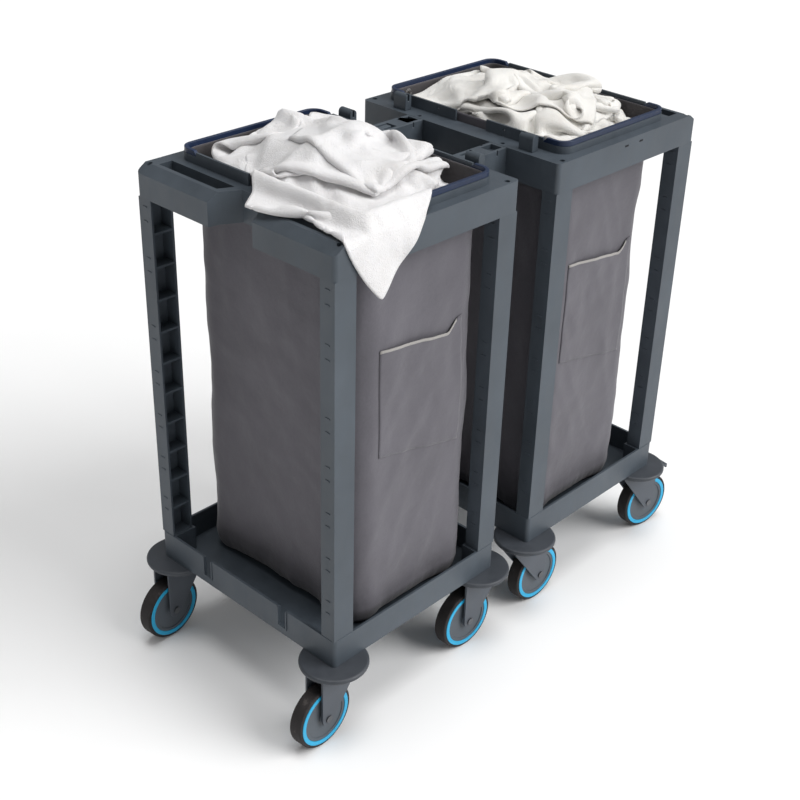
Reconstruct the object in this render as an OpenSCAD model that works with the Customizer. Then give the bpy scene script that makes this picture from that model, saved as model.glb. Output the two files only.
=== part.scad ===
// Linen trolley: two bag modules, joined by two bridges, on eight swivel casters.
// +Z is up, +X runs along the trolley, and the origin is on the floor under its middle.
// Module A is the -X half and module B is the +X half, its mirror image.

/* [Overall] */
// Length of one module along the trolley
module_l = 506; // [420:1:640]
// Width across the trolley
module_w = 565; // [460:1:720]
// Gap between the two modules
module_gap = 126; // [104:1:170]
// Height of the top plane above the floor
top_z = 1145; // [900:1:1400]

/* [Top frame] */
// Height of the skirt round the top frame
skirt_h = 66; // [54:1:90]
// Wall thickness of the mouldings
wall = 5; // [4:0.5:6]
// Corner radius of the frames in plan
frame_corner_r = 10; // [6:1:14]
// Distance from the coupling edge to the bag ring
ring_near = 47; // [40:1:60]
// Distance from the handle edge to the bag ring
ring_far = 86; // [80:1:110]
// Distance from the long sides to the bag ring
ring_side = 24.5; // [20:0.5:40]
// Corner radius of the bag ring
ring_corner_r = 30; // [26:1:50]
// Height of the collar lip above the top plane
lip_h = 16; // [12:1:24]
// Height of the end walls of the ring above the top plane
ring_wall_h = 25; // [22:1:27]
// Width of each hand slot
slot_w = 32; // [26:1:36]
// Depth of the chamfer along the handle edge
chamfer_in = 24; // [12:1:28]
// Drop of the chamfer along the handle edge
chamfer_drop = 16; // [8:1:20]

/* [Posts and base] */
// Size of a corner post along the trolley
post_l = 54; // [46:1:66]
// Size of a corner post across the trolley
post_w = 38; // [34:1:48]
// Number of ribbed bays in a post
post_bays = 11; // [6:1:14]
// Height of the base tray
base_h = 68; // [60:1:90]
// Thickness of the tray floor
tray_floor_t = 8; // [6:1:12]
// Thickness of the tray rim
rim_t = 6; // [5:0.5:8]

/* [Bag] */
// Gap between the bag and the ring outline, where the bag hangs below its hem
bag_gap = 18; // [16:1:24]
// Thickness of the bag cloth and its hem
cloth_t = 3; // [2:0.5:4]
// Corner radius of the hanging bag
bag_corner_r = 50; // [30:1:60]
// Height of the linen heap above the top plane
heap_h = 92; // [70:1:130]

/* [Casters] */
// Radius of a wheel
wheel_r = 75; // [60:1:92]
// Width of the tyre
tyre_w = 32; // [24:1:35]
// Distance of the wheel axle behind the swivel axis
trail = 42; // [34:1:50]
// Radius of a bumper disc
disc_r = 75; // [66:1:84]
// Inset of a swivel axis from the end of its module
pivot_end = 24; // [22:1:30]
// Inset of a swivel axis from the long side
pivot_side = 25.5; // [23:0.5:30]
// Resting swivel angle of each caster, from its straight trailing position
caster_yaw = [2, 4.1, -2.7, 0, -2, 0, -9.2, 4.1];

/* [Hidden] */
$fn = 48;
// Overshoot of a cut past the face it opens
cut = 1;
// Gap between faces that move past each other
run_gap = 0.3;
// Radial clearance of a shaft that turns in its hole
shaft_gap = 0.05;

// Colours
frame_grey = "#4e555e";
navy = "#1d3262";
bag_grey = "#69666d";
steel = "#c4c8cc";
caster_grey = "#6a6c76";

// Module B in plan: near is the coupling edge, far is the handle edge
near_x = module_gap / 2;
far_x = near_x + module_l;
side_y = module_w / 2;
skirt_z = top_z - skirt_h;
plate_t = 6;

// Bag ring in plan
ring_x0 = near_x + ring_near;
ring_x1 = far_x - ring_far;
ring_y = side_y - ring_side;
ring_mid_x = (ring_x0 + ring_x1) / 2;
// Half of the gap in the middle of each end wall of the ring
ring_gap_y = 44;
// Where the end walls stop and the rails take over
rail_return_y = ring_y - 58;
rail_step = 1;
rail_w = 8;
rail_h = 27;
rail_lift = 2;
rail_bevel = 9;

// Handle end
slot_x0 = ring_x1 + 20;
slot_x1 = slot_x0 + slot_w;
slot_y0 = 60;
slot_y1 = side_y - 30.5;
slot_slant = 15;
notch_x = slot_x0 + 1;
notch_mouth_y = 66;
notch_knee_y = 60;
notch_foot_y = 38;

// Posts
post_step = 1;
post_near_x = near_x + post_step + post_l / 2;
post_far_x = far_x - post_step - post_l / 2;
post_y = side_y - post_step - post_w / 2;
post_wall = 5;
spigot_inset = 7;
spigot_l = 36;
rib_t = 5;

// Corner screws
screw_head_r = 6;
screw_r = 2.5;
screw_end = 25;
screw_side = 12.5;
screw_sink = 14;
screw_head_h = 4;
screw_bite = 24;

// Base and caster heads, from the floor up
disc_h = 12;
washer_h = 2;
washer_r = 24;
crown_t = 5;
boss_h = 14;
boss_r = 20;
king_pin_r = 6;
king_head_r = 10;
king_head_h = 5;
king_bite = 24;
crown_room = 22;
base_z = 2 * wheel_r + crown_room + boss_h + washer_h + disc_h;
rim_z = base_z + base_h;
disc_z = base_z - disc_h;
crown_z = disc_z - washer_h - run_gap;
block_l = post_l + 6;
block_w = post_w + 6;
hook_slot_y0 = 112;
hook_slot_w = 22;
hook_slot_up = 21;

// Wheel and fork
axle_z = wheel_r;
axle_r = 5;
axle_cap_r = 8;
axle_cap_h = 3;
leg_t = 5;
leg_y = 21;
fork_front = 59;
fork_hub_r = 17;
fork_slant = 37;
hub_boss_r = 14;
hub_web_t = 28;
hub_rim_t = 7;
tyre_t = 7.5;
ring_t = 9.5;
ring_over = 1.5;

// Brake pedal, turning on trunnions in the fork legs
pedal_pin_r = 4;
pedal_pin_t = trail + 8;
pedal_pin_z = crown_z - crown_t - 9;
pedal_tip_t = 97;
pedal_w = 54;
pedal_t = 5;
pedal_room = 3;
shoe_gap = 1.5;

// Bridges between the modules
bridge_y0 = 97;
bridge_w = 46;
bridge_wall = 5;
bridge_top_t = 18;
pocket_depth = 12;

// Hinge blocks on the coupling side
hinge_in = 13;
hinge_x0 = near_x + hinge_in;
hinge_slot_in = 9;
hinge_l = 19;
hinge_y0 = 163;
hinge_w = 37;
hinge_h = 36;
hinge_slot_w = 5;
hinge_slot_depth = 16;

// Bag
bag_x0 = ring_x0 + bag_gap;
bag_x1 = ring_x1 - bag_gap;
bag_y = ring_y - bag_gap + 1;
bag_bottom_z = base_z + tray_floor_t + 5;
bag_round_h = 28;
bag_round_in = 24;
hem_z0 = top_z - 20;
hem_z1 = top_z + 20;
hem_inset = rail_step + rail_w;
pocket_t = 4;
bag_pocket_top_z = bag_bottom_z + 0.725 * (top_z - bag_bottom_z);
bag_pocket_low_z = bag_bottom_z + 0.43 * (top_z - bag_bottom_z);
bag_pocket_left = 115;
bag_pocket_slant = 40;
bag_pocket_wrap = 6;
eyelet_r = 11;
eyelet_hole_r = 4.5;
eyelet_barrel_r = 6;
eyelet_t = 2;
eyelet_z = top_z + 2;

// Linen
linen_gap = 1;
flap_t = 6;
flap_lift = 2;
flap_drop = 139;

// ---------- plan shapes ----------

// A rectangle with rounded corners, from corner to corner
module round_rect(x0, y0, x1, y1, r) {
    translate([x0 + r, y0]) square([x1 - x0 - 2 * r, y1 - y0]);
    translate([x0, y0 + r]) square([x1 - x0, y1 - y0 - 2 * r]);
    for (x = [x0 + r, x1 - r], y = [y0 + r, y1 - r]) translate([x, y]) circle(r);
}

// The outline of one module, drawn in by an inset
module module_plan(inset = 0) {
    round_rect(near_x + inset, -side_y + inset, far_x - inset, side_y - inset, frame_corner_r - inset / 2);
}

// The outline of the bag ring, drawn in by an inset
module ring_plan(inset = 0) {
    round_rect(ring_x0 + inset, -ring_y + inset, ring_x1 - inset, ring_y - inset, ring_corner_r - inset);
}

// A band that follows the ring, between two insets
module ring_band(outer, inner) {
    difference() {
        ring_plan(outer);
        ring_plan(inner);
    }
}

// The open notch in the middle of the handle edge
module notch_plan() {
    knee_x = far_x - chamfer_in;
    polygon([[notch_x, -notch_foot_y], [knee_x, -notch_knee_y], [far_x + 2 * wall, -notch_mouth_y],
        [far_x + 2 * wall, notch_mouth_y], [knee_x, notch_knee_y], [notch_x, notch_foot_y]]);
}

// The two hand slots beside the notch
module slots_plan() {
    for (s = [-1, 1]) scale([1, s])
        polygon([[slot_x0, slot_y0], [slot_x1, slot_y0 + slot_slant], [slot_x1, slot_y1], [slot_x0, slot_y1]]);
}

// The top plate in plan, drawn in by an inset on every edge
module top_plan(inset = 0) {
    difference() {
        module_plan(inset);
        ring_plan(wall - inset);
        offset(delta = inset) notch_plan();
        offset(delta = inset) slots_plan();
    }
}

// Corner blocks that take the posts, in plan
module blocks_plan() {
    for (x = [near_x, far_x - block_l], y = [-side_y, side_y - block_w])
        translate([x, y]) square([block_l, block_w]);
}

// ---------- top frames ----------

// The wedge above the handle-edge chamfer, lowered by a drop
module chamfer_wedge(drop = 0) {
    translate([0, side_y + cut, -drop]) rotate([90, 0, 0]) linear_extrude(module_w + 2 * cut)
        polygon([[far_x - chamfer_in, top_z], [far_x + cut, top_z - chamfer_drop * (chamfer_in + cut) / chamfer_in],
            [far_x + cut, top_z + 2 * wall], [far_x - chamfer_in, top_z + 2 * wall]]);
}

// The sockets that take the post spigots, at both ends of the posts
module post_sockets() {
    for (x = [post_near_x, post_far_x], y = [-post_y, post_y]) translate([x, y]) spigot_column();
}

module top_frame() {
    ring_hole_y = 95;
    ring_hole_r = 2.5;
    coupling_hole_r = 5;
    coupling_hole_in = 13;
    difference() {
        union() {
            // Plate and skirt, hollow from below
            difference() {
                translate([0, 0, skirt_z]) linear_extrude(skirt_h) top_plan();
                difference() {
                    translate([0, 0, skirt_z - cut]) linear_extrude(skirt_h - plate_t + cut) top_plan(wall);
                    chamfer_wedge(plate_t);
                }
            }
            // Corner blocks
            translate([0, 0, skirt_z]) linear_extrude(skirt_h - plate_t) intersection() {
                top_plan();
                blocks_plan();
            }
            // Collar lip on the long sides and corners
            translate([0, 0, top_z - plate_t]) linear_extrude(plate_t + lip_h) difference() {
                ring_band(0, wall);
                square([4 * far_x, 2 * rail_return_y], center = true);
            }
            // End walls of the ring, with a gap in the middle
            translate([0, 0, top_z - plate_t]) linear_extrude(plate_t + ring_wall_h) intersection() {
                ring_band(0, wall);
                for (s = [-1, 1]) translate([0, s < 0 ? -rail_return_y : ring_gap_y])
                    square([2 * far_x, rail_return_y - ring_gap_y]);
            }
        }
        chamfer_wedge();
        post_sockets();
        for (x = [near_x + screw_end, far_x - screw_end], y = [-side_y + screw_side, side_y - screw_side])
            translate([x, y, skirt_z]) {
                cylinder(r = screw_r, h = skirt_h);
                translate([0, 0, skirt_h - screw_sink]) cylinder(r = screw_head_r, h = screw_sink + cut);
            }
        for (s = [-1, 1]) {
            translate([near_x + coupling_hole_in, s * (bridge_y0 + bridge_w / 2), top_z - plate_t - cut])
                cylinder(r = coupling_hole_r, h = plate_t + 2 * cut);
            translate([ring_x0 - cut, s * ring_hole_y, top_z + lip_h - 1]) rotate([0, 90, 0])
                cylinder(r = ring_hole_r, h = wall + 2 * cut);
        }
    }
}

module a_top_frame() {
    color(frame_grey) mirror([1, 0, 0]) top_frame();
}

module b_top_frame() {
    color(frame_grey) top_frame();
}

module bridges() {
    pocket_x = 22;
    pocket_l = 34;
    loop_x = -46;
    loop_l = 34;
    loop_tongue = 14;
    loop_groove = 8;
    pocket_side = 8;
    notch_at = 30;
    notch_l = 5;
    notch_in = 3;
    color(frame_grey) for (s = [-1, 1]) translate([0, s * (bridge_y0 + bridge_w / 2), 0]) difference() {
        translate([-near_x, -bridge_w / 2, skirt_z]) cube([module_gap, bridge_w, skirt_h]);
        // Hollow from below
        translate([-near_x + bridge_wall, -bridge_w / 2 + bridge_wall, skirt_z - cut])
            cube([module_gap - 2 * bridge_wall, bridge_w - 2 * bridge_wall, skirt_h - bridge_top_t + cut]);
        // Square pocket near module B
        translate([pocket_x, -bridge_w / 2 + pocket_side, top_z - pocket_depth])
            cube([pocket_l, bridge_w - 2 * pocket_side, pocket_depth + cut]);
        // U-shaped groove near module A, round a tongue
        difference() {
            translate([loop_x, -bridge_w / 2 + pocket_side, top_z - pocket_depth])
                cube([loop_l, bridge_w - 2 * pocket_side, pocket_depth + cut]);
            translate([loop_x - cut, -loop_tongue / 2, top_z - pocket_depth - cut])
                cube([loop_l - loop_groove + cut, loop_tongue, pocket_depth + cut]);
        }
        // Small notch in the top edge of each side
        for (side = [-1, 1]) translate([notch_at, side * bridge_w / 2 - notch_in, top_z - pocket_depth])
            cube([notch_l, 2 * notch_in, pocket_depth + cut]);
    }
}

module hinge_blocks() {
    top_r = hinge_l / 2;
    color(frame_grey) for (m = [0, 1], s = [0, 1]) mirror([m, 0, 0]) mirror([0, s, 0]) difference() {
        translate([hinge_x0, hinge_y0, top_z]) union() {
            cube([hinge_l, hinge_w, hinge_h - top_r]);
            translate([top_r, 0, hinge_h - top_r]) rotate([-90, 0, 0]) cylinder(r = top_r, h = hinge_w);
        }
        translate([hinge_x0 + (hinge_l - hinge_slot_w) / 2, hinge_y0 - cut, top_z + hinge_h - hinge_slot_depth])
            cube([hinge_slot_w, hinge_slot_in + cut, hinge_slot_depth + cut]);
    }
}

// The rail that clamps the bag over one long side of a ring
module bag_rail() {
    difference() {
        intersection() {
            union() {
                translate([0, 0, top_z + lip_h]) linear_extrude(rail_h - lip_h)
                    ring_band(rail_step, rail_step + rail_w);
                translate([0, 0, top_z + rail_lift]) linear_extrude(rail_h - rail_lift)
                    ring_band(wall, rail_step + rail_w);
            }
            translate([0, rail_return_y, top_z]) cube([far_x, ring_y, 2 * rail_h]);
        }
        // The returns slope down to their ends
        translate([0, rail_return_y, top_z + rail_h - rail_bevel]) rotate([45, 0, 0])
            cube([far_x, 4 * rail_bevel, 4 * rail_bevel]);
    }
}

module bag_rails() {
    color(navy) for (m = [0, 1], s = [0, 1]) mirror([m, 0, 0]) mirror([0, s, 0]) bag_rail();
}

// ---------- posts and base ----------

// The spigots of one post, as one column through its whole height
module spigot_column() {
    size_x = post_l - 2 * spigot_inset;
    size_y = post_w - 2 * spigot_inset;
    translate([-size_x / 2, -size_y / 2, rim_z - spigot_l])
        cube([size_x, size_y, skirt_z - rim_z + 2 * spigot_l]);
}

// One post, with its ribbed channel open towards -Y
module post() {
    bay = (skirt_z - rim_z) / post_bays;
    union() {
        difference() {
            translate([-post_l / 2, -post_w / 2, rim_z]) cube([post_l, post_w, skirt_z - rim_z]);
            for (k = [0 : post_bays - 1])
                translate([-post_l / 2 + post_wall, -post_w / 2 - cut, rim_z + k * bay + rib_t / 2])
                    cube([post_l - 2 * post_wall, post_w - post_wall + cut, bay - rib_t]);
        }
        for (z = [rim_z - spigot_l, skirt_z - rib_t / 2])
            translate([0, 0, z]) linear_extrude(spigot_l + rib_t / 2)
                square([post_l - 2 * spigot_inset, post_w - 2 * spigot_inset], center = true);
    }
}

module posts() {
    difference() {
        for (x = [post_near_x, post_far_x], s = [0, 1]) mirror([0, s, 0]) translate([x, post_y]) post();
        for (x = [near_x + screw_end, far_x - screw_end], y = [-side_y + screw_side, side_y - screw_side])
            translate([x, y, skirt_z + spigot_l - screw_bite]) cylinder(r = screw_r, h = screw_bite + cut);
    }
}

module posts_a() {
    color(frame_grey) mirror([1, 0, 0]) posts();
}

module posts_b() {
    color(frame_grey) posts();
}

module frame_screws() {
    head_z = top_z - screw_sink;
    tip_z = skirt_z + spigot_l - screw_bite;
    color("black") for (m = [0, 1], x = [near_x + screw_end, far_x - screw_end], y = [-1, 1])
        mirror([m, 0, 0]) translate([x, y * (side_y - screw_side), 0]) {
            translate([0, 0, tip_z]) cylinder(r = screw_r, h = head_z - tip_z);
            translate([0, 0, head_z]) cylinder(r = screw_head_r, h = screw_head_h);
        }
}

module base_tray() {
    difference() {
        union() {
            translate([0, 0, base_z]) linear_extrude(tray_floor_t) module_plan();
            translate([0, 0, base_z]) linear_extrude(base_h) difference() {
                module_plan();
                module_plan(rim_t);
            }
            translate([0, 0, base_z]) linear_extrude(base_h) intersection() {
                module_plan();
                blocks_plan();
            }
        }
        post_sockets();
        for (x = [near_x + pivot_end, far_x - pivot_end], y = [-side_y + pivot_side, side_y - pivot_side])
            translate([x, y, base_z - cut]) cylinder(r = king_pin_r, h = king_bite + cut);
        // Hook slots in the end rim, open at the top
        for (s = [0, 1]) mirror([0, s, 0]) translate([far_x - rim_t - cut, hook_slot_y0, base_z + hook_slot_up])
            cube([rim_t + 2 * cut, hook_slot_w, base_h]);
    }
}

module a_base_tray() {
    color(frame_grey) mirror([1, 0, 0]) base_tray();
}

module b_base_tray() {
    color(frame_grey) base_tray();
}

// ---------- bags and linen ----------

// The hanging bag in plan, drawn in by an inset
module bag_plan(inset = 0) {
    round_rect(bag_x0 + inset, -bag_y + inset, bag_x1 - inset, bag_y - inset, bag_corner_r - inset);
}

// The body of a bag with rounded-in bottom edges, drawn in by an inset
module bag_body(inset, z1) {
    z0 = bag_bottom_z + inset;
    hull() {
        translate([0, 0, z0]) linear_extrude(cut) bag_plan(bag_round_in + inset);
        translate([0, 0, z0 + bag_round_h / 3]) linear_extrude(cut) bag_plan(bag_round_in / 4 + inset);
        translate([0, 0, z0 + bag_round_h]) linear_extrude(cut) bag_plan(inset);
    }
    translate([0, 0, z0 + bag_round_h]) linear_extrude(z1 - z0 - bag_round_h) bag_plan(inset);
}

// Where the eyelets sit: position and turn about Z, the barrel along +Y from inside the hem
module at_eyelets() {
    spots_x = [-125, 86];
    spots_y = [-97, 97];
    hem_y = ring_y - hem_inset;
    for (x = spots_x, s = [-1, 1])
        translate([ring_mid_x + x, s * (hem_y - cloth_t), eyelet_z]) rotate([0, 0, s > 0 ? 0 : 180]) children();
    for (y = spots_y) {
        translate([ring_x1 - hem_inset - cloth_t, y, eyelet_z]) rotate([0, 0, -90]) children();
        translate([ring_x0 + hem_inset + cloth_t, y, eyelet_z]) rotate([0, 0, 90]) children();
    }
}

module bag() {
    difference() {
        union() {
            bag_body(0, hem_z0);
            // Hem that fills out to the rails
            translate([0, 0, hem_z0]) linear_extrude(hem_z1 - hem_z0) ring_plan(hem_inset);
        }
        bag_body(cloth_t, hem_z0 + cloth_t + cut);
        translate([0, 0, hem_z0 + cloth_t]) linear_extrude(hem_z1 - hem_z0) ring_plan(hem_inset + cloth_t);
        at_eyelets() translate([0, -cut, 0]) rotate([-90, 0, 0]) cylinder(r = eyelet_barrel_r, h = cloth_t + 2 * cut);
    }
}

// The patch pocket on the front of a bag, wide towards +X on both bags
module bag_pocket(mid_x) {
    right = (bag_x1 - bag_x0) / 2 - bag_corner_r + bag_pocket_wrap;
    translate([mid_x, -bag_y + cut, 0]) rotate([90, 0, 0]) linear_extrude(pocket_t + cut)
        polygon([[-bag_pocket_left, bag_pocket_low_z + bag_pocket_slant], [right, bag_pocket_low_z],
            [right, bag_pocket_top_z], [-bag_pocket_left, bag_pocket_top_z]]);
}

module bag_a() {
    color(bag_grey) union() {
        mirror([1, 0, 0]) bag();
        bag_pocket(-ring_mid_x);
    }
}

module bag_b() {
    color(bag_grey) union() {
        bag();
        bag_pocket(ring_mid_x);
    }
}

module eyelets() {
    color(steel) for (m = [0, 1]) mirror([m, 0, 0]) at_eyelets() difference() {
        rotate([-90, 0, 0]) union() {
            translate([0, 0, -eyelet_t]) cylinder(r = eyelet_r, h = eyelet_t);
            cylinder(r = eyelet_barrel_r, h = cloth_t);
        }
        translate([0, -eyelet_t - cut, 0]) rotate([-90, 0, 0])
            cylinder(r = eyelet_hole_r, h = eyelet_t + cloth_t + 2 * cut);
    }
}

// Towels that fill a bag and heap above it
module linen() {
    inset = cloth_t + linen_gap;
    heap_x = (bag_x1 - bag_x0) / 2;
    bag_body(inset, top_z);
    hull() {
        translate([0, 0, top_z - cut]) linear_extrude(cut) bag_plan(inset);
        translate([ring_mid_x, 0, top_z + 0.62 * heap_h]) linear_extrude(cut) scale([0.72, 1.06]) circle(heap_x);
        translate([ring_mid_x - 20, 0, top_z + heap_h - cut]) linear_extrude(cut) scale([0.34, 0.5]) circle(heap_x);
    }
}

// A towel corner that lies over the rail and hangs down the front of module A
module linen_flap() {
    left = -far_x + 12;
    right = -ring_mid_x - 6;
    tip = left + 90;
    back_y = -bag_y + 68;
    front_y = -side_y - flap_lift - flap_t;
    over_z = top_z + rail_h + linen_gap;
    translate([0, front_y + flap_t, 0]) rotate([90, 0, 0]) linear_extrude(flap_t)
        polygon([[left, top_z - 4], [tip, top_z - flap_drop], [right - 36, top_z - flap_drop / 2],
            [right, top_z], [right, over_z + flap_t], [tip, over_z + flap_t]]);
    translate([tip, front_y, over_z]) cube([right - tip, back_y - front_y, flap_t]);
}

module linen_a() {
    color("#ebe6e2") union() {
        mirror([1, 0, 0]) linen();
        linen_flap();
    }
}

module linen_b() {
    color("#e1dacd") linen();
}

// ---------- casters ----------

function caster_x(i) = (i <= 4 ? -1 : 1) * (i <= 2 || i >= 7 ? far_x - pivot_end : near_x + pivot_end);
function caster_y(i) = (i % 2 == 1 ? -1 : 1) * (side_y - pivot_side);
function heading(i) = caster_yaw[i - 1] + (i <= 4 ? 180 : 0);

// Puts a child on the swivel axis of caster i, with +X along its trail
module at_caster(i) {
    translate([caster_x(i), caster_y(i), 0]) rotate([0, 0, heading(i)]) children();
}

// Puts a wheel child, drawn about +Z, on the axle of caster i
module at_wheel(i) {
    at_caster(i) translate([trail, 0, axle_z]) rotate([90, 0, 0]) children();
}

module bumper_discs() {
    edge_r = 5.5;
    color("#2e353c") for (i = [1 : 8]) translate([caster_x(i), caster_y(i), disc_z]) rotate_extrude() {
        translate([king_pin_r, 0]) square([disc_r - king_pin_r - edge_r, disc_h]);
        translate([king_pin_r, edge_r]) square([disc_r - king_pin_r, disc_h - 2 * edge_r]);
        for (z = [edge_r, disc_h - edge_r]) translate([disc_r - edge_r, z]) circle(edge_r);
    }
}

module king_pins() {
    head_z = crown_z - boss_h - run_gap - king_head_h;
    color(steel) for (i = [1 : 8]) translate([caster_x(i), caster_y(i), 0]) {
        translate([0, 0, head_z]) cylinder(r = king_head_r, h = king_head_h);
        translate([0, 0, head_z]) cylinder(r = king_pin_r, h = base_z + king_bite - head_z);
    }
}

module swivel_bearings() {
    color(steel) for (i = [1 : 8]) translate([caster_x(i), caster_y(i), disc_z - washer_h]) difference() {
        cylinder(r = washer_r, h = washer_h);
        translate([0, 0, -cut]) cylinder(r = king_pin_r, h = washer_h + 2 * cut);
    }
}

// The side view of a fork leg, with its axle hole
module leg_plan() {
    difference() {
        union() {
            polygon([[-fork_front, crown_z], [trail + fork_hub_r, crown_z], [trail + fork_hub_r, axle_z],
                [trail, axle_z], [trail - fork_hub_r * cos(fork_slant), axle_z - fork_hub_r * sin(fork_slant)],
                [-fork_front, crown_z - crown_t]]);
            translate([trail, axle_z]) circle(fork_hub_r);
        }
        translate([trail, axle_z]) circle(axle_r);
    }
}

module fork(i) {
    braked = i >= 7;
    span = 2 * (leg_y + leg_t);
    color(caster_grey) at_caster(i) difference() {
        union() {
            for (y = [leg_y + leg_t, -leg_y]) translate([0, y, 0]) rotate([90, 0, 0]) linear_extrude(leg_t) leg_plan();
            translate([-fork_front, -span / 2, crown_z - crown_t]) cube([fork_front + trail + fork_hub_r, span, crown_t]);
            translate([0, 0, crown_z - boss_h]) cylinder(r = boss_r, h = boss_h);
        }
        translate([0, 0, crown_z - boss_h - cut]) cylinder(r = king_pin_r + shaft_gap, h = boss_h + 2 * cut);
        if (braked) translate([pedal_pin_t, span / 2 + cut, pedal_pin_z]) rotate([90, 0, 0])
            cylinder(r = pedal_pin_r + shaft_gap, h = span + 2 * cut);
    }
}

module axle(i) {
    half = leg_y + leg_t;
    color(steel) at_wheel(i) {
        translate([0, 0, -half]) cylinder(r = axle_r, h = 2 * half);
        translate([0, 0, half]) cylinder(r = axle_cap_r, h = axle_cap_h);
        translate([0, 0, -half - axle_cap_h]) cylinder(r = axle_cap_r, h = axle_cap_h);
    }
}

module wheel_hub(i) {
    bore = axle_r + shaft_gap;
    rim_out = wheel_r - tyre_t - ring_t;
    boss_half = leg_y - run_gap;
    color(caster_grey) at_wheel(i) rotate_extrude() {
        translate([bore, -boss_half]) square([hub_boss_r - bore, 2 * boss_half]);
        translate([bore, -hub_web_t / 2]) square([rim_out - bore, hub_web_t]);
        translate([rim_out - hub_rim_t, -tyre_w / 2]) square([hub_rim_t, tyre_w]);
    }
}

module wheel_ring(i) {
    half = tyre_w / 2 + ring_over;
    color("#28afdc") at_wheel(i) rotate_extrude()
        translate([wheel_r - tyre_t - ring_t, -half]) square([ring_t, 2 * half]);
}

module tyre(i) {
    shoulder = 3.5;
    color("#231e1e") at_wheel(i) rotate_extrude() {
        translate([wheel_r - tyre_t, -tyre_w / 2]) square([tyre_t - shoulder, tyre_w]);
        translate([wheel_r - tyre_t, -tyre_w / 2 + shoulder]) square([tyre_t, tyre_w - 2 * shoulder]);
        for (s = [-1, 1]) translate([wheel_r - shoulder, s * (tyre_w / 2 - shoulder)]) circle(shoulder);
    }
}

module brake_pedal(i) {
    ear_y = leg_y - run_gap;
    shoe_l = 12;
    pin_cover = 6;
    ear_front = pedal_pin_t - shoe_l / 2;
    ear_back = trail + fork_hub_r + pedal_room;
    top = pedal_pin_z + pin_cover;
    color("#50545c") at_caster(i) {
        // Trunnions in the fork legs
        translate([pedal_pin_t, leg_y + leg_t, pedal_pin_z]) rotate([90, 0, 0])
            cylinder(r = pedal_pin_r, h = 2 * (leg_y + leg_t));
        // Body between the legs, with the brake shoe above the tread
        translate([ear_front, -ear_y, 2 * wheel_r + shoe_gap]) cube([shoe_l, 2 * ear_y, top - 2 * wheel_r - shoe_gap]);
        translate([ear_front, -ear_y, top - pedal_t]) cube([ear_back - ear_front + cut, 2 * ear_y, pedal_t]);
        // Foot plate outside the legs, with a raised lip at its tip
        translate([ear_back, -pedal_w / 2, top - pedal_t]) cube([pedal_tip_t - ear_back, pedal_w, pedal_t]);
        translate([pedal_tip_t - pedal_t, -pedal_w / 2, top - 2 * pedal_t]) cube([pedal_t, pedal_w, 2 * pedal_t]);
    }
}

// ---------- assembly ----------

a_top_frame();
b_top_frame();
a_base_tray();
b_base_tray();
posts_a();
posts_b();
bridges();
hinge_blocks();
bag_rails();
frame_screws();
bag_a();
bag_b();
linen_a();
linen_b();
eyelets();
bumper_discs();
king_pins();
swivel_bearings();
for (i = [1 : 8]) {
    fork(i);
    axle(i);
    wheel_hub(i);
    wheel_ring(i);
    tyre(i);
}
for (i = [7, 8]) {
    brake_pedal(i);
}
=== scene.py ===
"""Looks for the linen trolley: moulded frames, hanging bags, towels, casters, materials, light and camera.

Everything is in metres in the frame of the CAD model: +Z up, +X along the trolley, floor at z = 0.
Module a is the -X half and module b the +X half.
"""
import math

import bmesh
import bpy
import numpy as np
from mathutils import Matrix, Vector, noise


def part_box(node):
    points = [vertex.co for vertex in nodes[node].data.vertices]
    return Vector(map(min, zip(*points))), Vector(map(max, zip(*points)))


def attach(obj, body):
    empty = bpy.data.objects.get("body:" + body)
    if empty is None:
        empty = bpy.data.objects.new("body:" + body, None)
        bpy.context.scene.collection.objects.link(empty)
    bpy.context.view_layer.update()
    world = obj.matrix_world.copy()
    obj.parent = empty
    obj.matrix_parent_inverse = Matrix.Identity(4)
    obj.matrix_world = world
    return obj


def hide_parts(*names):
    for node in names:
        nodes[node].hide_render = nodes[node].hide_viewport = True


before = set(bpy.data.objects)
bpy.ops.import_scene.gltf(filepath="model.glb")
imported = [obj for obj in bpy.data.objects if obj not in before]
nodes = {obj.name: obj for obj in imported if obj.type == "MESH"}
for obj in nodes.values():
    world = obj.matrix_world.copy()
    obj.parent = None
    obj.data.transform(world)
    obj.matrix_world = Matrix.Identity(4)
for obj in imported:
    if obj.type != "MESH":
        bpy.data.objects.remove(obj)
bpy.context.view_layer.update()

MM = 0.001
MODULES = {"a": -1, "b": 1}
CASTERS = range(1, 9)
BRAKED = (7, 8)

# Boxes of the CAD nodes that the pieces below fit, all on module b
FRAME_LOW, FRAME_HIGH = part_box("b_top_frame")
BAG_LOW, BAG_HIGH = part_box("bag_b")
TRAY_LOW, TRAY_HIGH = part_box("b_base_tray")
RAIL_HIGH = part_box("bag_rails")[1]
TOP_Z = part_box("bridges")[1].z

# The ring that carries a bag: a rounded rectangle in plan
RAIL_SEAT = 9 * MM            # from the CAD bag's box out to the ring
RING_X0, RING_X1 = BAG_LOW.x - RAIL_SEAT, BAG_HIGH.x + RAIL_SEAT
RING_Y = BAG_HIGH.y + RAIL_SEAT
RING_MID = (RING_X0 + RING_X1) / 2
RING_CORNER = 30 * MM

# The bags: insets are from the ring
HEM_INSET = 11.2 * MM
HEM_ROWS = 5
BODY_INSET = 18 * MM
BODY_CORNER = RING_CORNER + 18 * MM
BAG_CORNER = 48 * MM
BAG_ROUND = 1.552             # length once round a bag
ROUND_H = 28 * MM             # height of the rounding at the bottom
UNDER_ROWS = 7                # last rows, which lie under the bag and aren't creased
CREASE_AT = 155 * MM          # of the pressed fold down the front, from the middle of that side
CREASE_HALF_W, CREASE_H = 14 * MM, 4.5 * MM
CLOTH_STEP = 10 * MM
CLOTH_T = 1.5 * MM

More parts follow.
